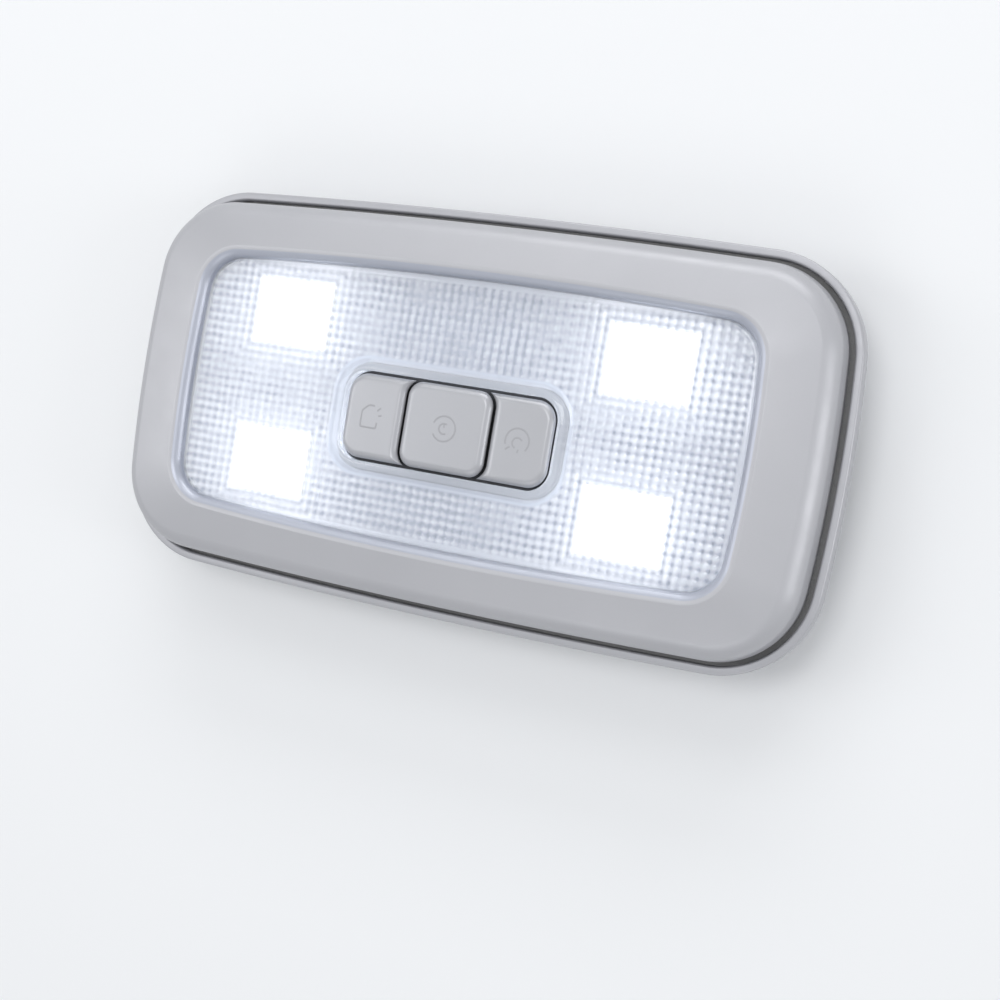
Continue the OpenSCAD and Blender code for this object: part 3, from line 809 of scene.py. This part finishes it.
def lens_base():
    """The smooth lens: flange, plateau, stepped collar and the opening for the buttons."""
    # The plateau comes closer to the frame than the CAD's lens, which hides a dark line
    closer, edge_r, steps = 0.22, 0.5, 6
    flange = outline(grow(WINDOW, LENS_FLANGE))
    plateau = grow(WINDOW, -SLOPE_W - LENS_GAP + closer)
    s = [(flange, LENS_Z), (flange, LIP_Z), (outline(plateau), LIP_Z)]
    for i in range(steps + 1):
        t = QUARTER_TURN * i / steps
        s.append((outline(grow(plateau, -edge_r * (1 - math.cos(t)))),
                  LENS_TOP - edge_r * (1 - math.sin(t))))
    s += [(outline(grow(plateau, -g)), LENS_TOP) for g in (0.9, 1.1)]
    # The collar's distances from the row of buttons and its heights: two low steps and a top
    foot, hole = COLLAR_FOOT, BUTTON_GAP
    collar = [
        (foot, LENS_TOP), (foot - 0.35, LENS_TOP + 0.14), (foot - 1.0, LENS_TOP + 0.2),
        (foot - 1.2, LENS_TOP + 0.34), (foot - 1.9, LENS_TOP + 0.4), (foot - 2.3, BUTTON_TOP),
        (hole + 0.25, BUTTON_TOP), (hole + 0.07, BUTTON_TOP - 0.07), (hole, BUTTON_TOP - 0.25),
        (hole, LENS_Z)]
    s += [(rounded(grow(ROW, g), ROW_Y), z) for g, z in collar]
    return band(s)


def relief(nx, ny, height, far_z):
    """A slab over the field of ribs, with a wavy side and a flat side at far_z."""
    dx, dy = 2 * FIELD_X / nx, 2 * FIELD_Y / ny
    grid = [(i * dx - FIELD_X, j * dy - FIELD_Y) for i in range(nx + 1) for j in range(ny + 1)]
    verts = [(x, y, height(x, y)) for x, y in grid]
    count = len(verts)
    verts += at_height(grid, far_z)
    row = ny + 1
    faces = []
    for i in range(nx):
        for j in range(ny):
            a = i * row + j
            quad = (a, a + 1, a + row + 1, a + row)
            faces += [quad, tuple(v + count for v in reversed(quad))]
    edge = [i * row for i in range(nx + 1)] + [nx * row + j for j in range(1, ny + 1)]
    edge += [i * row + ny for i in range(nx - 1, -1, -1)] + list(range(ny - 1, 0, -1))
    for k, a in enumerate(edge):
        b = edge[(k + 1) % len(edge)]
        faces.append((a, b, b + count, a + count))
    if far_z < verts[0][2]:
        faces = [tuple(reversed(f)) for f in faces]
    return verts, faces


def groove(v):
    """1 in the middle of a groove, which lies on every multiple of the pitch, 0 between two."""
    return math.cos(math.pi * v / RIB_PITCH) ** 2


def rib_top(x, y):
    """Ribs that run both ways, so they are small domes."""
    return LENS_TOP - 0.01 - RIB_DEPTH * 0.8 * (0.5 * groove(x) + 0.5 * groove(y))


def rib_under(x, y):
    """Ribs that run along Y."""
    return LENS_Z + 0.01 + RIB_DEPTH * groove(x)


def rib_region(z0, z1):
    """The ribbed field: inside the smooth border and outside the collar."""
    edge = outline(grow(WINDOW, -SLOPE_W - LENS_GAP - LENS_BORDER))
    collar = rounded(grow(ROW, COLLAR_FOOT + 0.15), ROW_Y)
    return band([(edge, z0), (edge, z1), (collar, z1), (collar, z0)])


def build_lens():
    lens = solid_object("lens_body", *lens_base())
    top = relief(RIBS_X * TOP_STEPS, RIBS_Y * TOP_STEPS, rib_top, LENS_TOP + 1)
    under = relief(RIBS_X * UNDER_STEPS, 1, rib_under, LENS_Z - 1)
    middle = LENS_Z + 0.8
    for shape, z0, z1 in ((top, middle, LENS_TOP + 0.5), (under, LENS_Z - 0.5, middle)):
        tool = solid_object("tool", *shape)
        carve(tool, solid_object("region", *rib_region(z0, z1)), "INTERSECT")
        carve(lens, tool, "DIFFERENCE")
    dress(lens, lens_material(), "clear_lens", sharp=40.0, hides=("lens",))


build_lens()


# Buttons

def button(name, points_at, rise, x, body, node):
    """A hollow cap with a round top edge, and the pad that meets the plunger."""
    top = BUTTON_TOP + rise
    inner = SKIRT_INSET + SKIRT_WALL
    chamfer, steps = 0.12, 14
    rings = [(inner, CEILING_Z), (inner, SKIRT_Z), (SKIRT_INSET, SKIRT_Z), (SKIRT_INSET, CAP_Z),
             (chamfer, CAP_Z), (0.0, CAP_Z + chamfer)]
    low = math.asin(1 - EDGE_H / EDGE_R)
    for i in range(steps + 1):
        t = low + (QUARTER_TURN - low) * i / steps
        rings.append((EDGE_R * (math.cos(low) - math.cos(t)), top - EDGE_R * (1 - math.sin(t))))
    rings.append((EDGE_R + 0.1, top))
    cap = loft([([(px, py + ROW_Y) for px, py in points_at(g)], z) for g, z in rings])
    pad = rod(x, ROW_Y, PAD_D / 2, PLUNGER_TOP, CEILING_Z + 0.5, 40)
    piece(name, joined([cap, pad]), silver_button, "silver_button", body=body, sharp=32.0,
          hides=(node,))


def left_button(inset):
    return [(-x, -y) for x, y in side_button(inset)]


def middle_button(inset):
    return rounded(grow(MID, -inset))


button("cap_left", left_button, 0.0, -SIDE_X, "left_button", "button_left")
button("cap_middle", middle_button, MID_PROUD, 0.0, "middle_button", "button_middle")
button("cap_right", side_button, 0.0, SIDE_X, "right_button", "button_right")


# Button marks

STROKE_W, STROKE_H = 0.44, 0.035
# Radii of the round marks
MARK_R, MARK_SMALL_R = 2.9, 1.2


def stroke(points, z):
    """A thin raised line through points: a flat tube whose foot is sunk in the button."""
    # Sideways as a share of half the width, and up as a share of the height
    section = ((-1, -3), (-1, 0.3), (-0.6, 1), (0.6, 1), (1, 0.3), (1, -3))
    rings = []
    for i, (x, y) in enumerate(points):
        x0, y0 = points[max(i - 1, 0)]
        x1, y1 = points[min(i + 1, len(points) - 1)]
        d = math.hypot(x1 - x0, y1 - y0)
        nx, ny = -(y1 - y0) / d, (x1 - x0) / d
        rings.append([(x + nx * a * STROKE_W / 2, y + ny * a * STROKE_W / 2, z + h * STROKE_H)
                      for a, h in section])
    return tube(rings)


def arc(cx, cy, r, start, end, n=28):
    """An arc between two angles in degrees."""
    return [arc_point((cx, cy), r, math.radians(start + (end - start) * i / n))
            for i in range(n + 1)]


def softened(points, r=0.5, steps=5):
    """A polyline with short rounded corners."""
    out = [points[0]]
    for a, b, c in zip(points, points[1:], points[2:]):
        va, vc = Vector(a) - Vector(b), Vector(c) - Vector(b)
        pa, pc = Vector(b) + va.normalized() * r, Vector(b) + vc.normalized() * r
        for i in range(steps + 1):
            t = i / steps
            out.append(tuple((1 - t) ** 2 * pa + 2 * t * (1 - t) * Vector(b) + t ** 2 * pc))
    return out + [points[-1]]


def mark(name, x, body, top, lines):
    """The symbol on a button, from lines about the symbol's middle."""
    sink = 0.01
    strokes = [stroke([(px + x, py + ROW_Y) for px, py in line], top - sink) for line in lines]
    piece(name, joined(strokes), icon_grey, "silver_button", body=body, sharp=40.0)


mark("mark_left", -19.4, "left_button", BUTTON_TOP, [
    softened([(2.0, -1.2), (2.0, -2.6), (-2.2, -2.6), (-2.2, 1.2), (-0.6, 2.6), (0.9, 2.6)]),
    [(1.7, 1.5), (2.6, 2.3)],
    [(2.2, 0.4), (3.0, 0.5)],
])
mark("mark_middle", 0.0, "middle_button", BUTTON_TOP + MID_PROUD, [
    arc(0, 0, MARK_R, -150, 160),
    arc(0, 0, MARK_SMALL_R, 60, 300),
    [(0.0, 0.25), (0.0, 1.0)],
])
mark("mark_right", 18.2, "right_button", BUTTON_TOP, [
    arc(0, 0, MARK_R, -40, 200),
    arc(0.1, -0.4, MARK_SMALL_R, 30, 250),
    [(-2.6, -2.2), (-1.6, -1.4)],
    [(0.4, -2.6), (0.6, -1.8)],
])


# Finishes of the CAD nodes that stay

finishes = {
    "seal": foam, "reflector": white_reflector, "circuit_board": board_material(),
    "switch_frame": black_plastic, "connector": nylon, "connector_pins": tin, "board_screws": zinc,
    "resistors": resistor_material(), "driver_chip": chip_black, "capacitor": can_metal,
}
lit = panel_material()
for number in (1, 2, 3, 4):
    finishes["light_panel_%d" % number] = lit
for side in ("left", "middle", "right"):
    finishes["switch_" + side] = switch_black
    finishes["plunger_" + side] = plunger_red
for name, material in finishes.items():
    for holder in nodes[name].material_slots:
        holder.material = material


# Floor, light and camera, in metres

FLOOR_SIZE, FLOOR_STEPS = 3.0, 24
SKY_COLOUR, SKY_STRENGTH = grey(0.98, 0.99, 1.0), 0.5
BACKDROP_COLOUR, BACKDROP_STRENGTH = grey(0.86, 0.88, 0.92), 1.0
CENTRE = (0, 0, 0)
# Each lamp's name, place, size and power in watts
LAMPS = [
    ("over", (0, 0.24, 1.17), (0.4, 0.4), 2.1),
    ("high", (-0.15, 0.85, 0.85), (1.1, 0.3), 1.9),
    ("low", (0, 1.09, 0.51), (1.0, 0.3), 3.8),
    ("front", (0, -0.85, 0.85), (0.8, 0.4), 1.2),
    ("left_high", (-0.85, 0, 0.85), (0.4, 0.8), 2.05),
    ("right_high", (0.85, 0, 0.85), (0.4, 0.8), 0.6),
    ("right_low", (1.15, 0, 0.34), (0.3, 0.8), 2.6),
]
CAMERA_PLACE = (0.145442, -0.003884, 0.336418)
# The camera's own axes: to its right, up and back towards it
CAMERA_AXES = (
    (0.90776, 0.1677, -0.38451), (-0.16984, 0.98505, 0.02865), (0.38356, 0.0393, 0.92268))

scene = bpy.context.scene


def build_floor():
    row = FLOOR_STEPS + 1
    grid = [((i / FLOOR_STEPS - 0.5) * FLOOR_SIZE, (j / FLOOR_STEPS - 0.5) * FLOOR_SIZE, 0.0)
            for i in range(row) for j in range(row)]
    squares = [(i * row + j, (i + 1) * row + j, (i + 1) * row + j + 1, i * row + j + 1)
               for i in range(FLOOR_STEPS) for j in range(FLOOR_STEPS)]
    me = bpy.data.meshes.new("floor")
    me.from_pydata(grid, [], squares)
    floor = bpy.data.objects.new("floor", me)
    scene.collection.objects.link(floor)
    m = Nodes("floor")
    m.set(
        Base_Color=m.mix(m.noise(3.0), grey(0.852, 0.865, 0.884), grey(0.868, 0.881, 0.90)),
        Roughness=0.6,
    )
    me.materials.append(m.mat)


def background(tree, colour, strength):
    node = tree.nodes.new("ShaderNodeBackground")
    node.inputs[0].default_value = colour
    node.inputs[1].default_value = strength
    return node


def build_world():
    """A soft sky that lights the object, and a pale backdrop where the sky is seen."""
    world = bpy.data.worlds.new("studio")
    world.use_nodes = True
    tree = world.node_tree
    tree.nodes.clear()
    path = tree.nodes.new("ShaderNodeLightPath")
    seen = path.outputs["Is Camera Ray"]
    for kind in ("Is Glossy Ray", "Is Transmission Ray"):
        either = tree.nodes.new("ShaderNodeMath")
        either.operation = "MAXIMUM"
        tree.links.new(seen, either.inputs[0])
        tree.links.new(path.outputs[kind], either.inputs[1])
        seen = either.outputs[0]
    choose = tree.nodes.new("ShaderNodeMixShader")
    tree.links.new(seen, choose.inputs[0])
    tree.links.new(background(tree, SKY_COLOUR, SKY_STRENGTH).outputs[0], choose.inputs[1])
    backdrop = background(tree, BACKDROP_COLOUR, BACKDROP_STRENGTH)
    tree.links.new(backdrop.outputs[0], choose.inputs[2])
    out = tree.nodes.new("ShaderNodeOutputWorld")
    tree.links.new(choose.outputs[0], out.inputs[0])
    scene.world = world


def build_lamp(name, place, size, power):
    """A rectangular lamp that looks at the middle of the light."""
    data = bpy.data.lights.new(name, "AREA")
    data.shape = "RECTANGLE"
    data.size, data.size_y = size
    data.energy = power
    lamp = bpy.data.objects.new(name, data)
    lamp.location = place
    lamp.rotation_euler = (Vector(CENTRE) - Vector(place)).to_track_quat("-Z", "Y").to_euler()
    scene.collection.objects.link(lamp)


def build_camera():
    data = bpy.data.cameras.new("camera")
    data.sensor_width = 36.0
    data.lens = 54.0
    data.clip_start = 0.01
    camera = bpy.data.objects.new("camera", data)
    turn = Matrix(CAMERA_AXES).transposed().to_4x4()
    camera.matrix_world = Matrix.Translation(CAMERA_PLACE) @ turn
    scene.collection.objects.link(camera)
    scene.camera = camera


build_floor()
build_world()
for lamp_values in LAMPS:
    build_lamp(*lamp_values)
build_camera()
scene.view_settings.view_transform = "Standard"
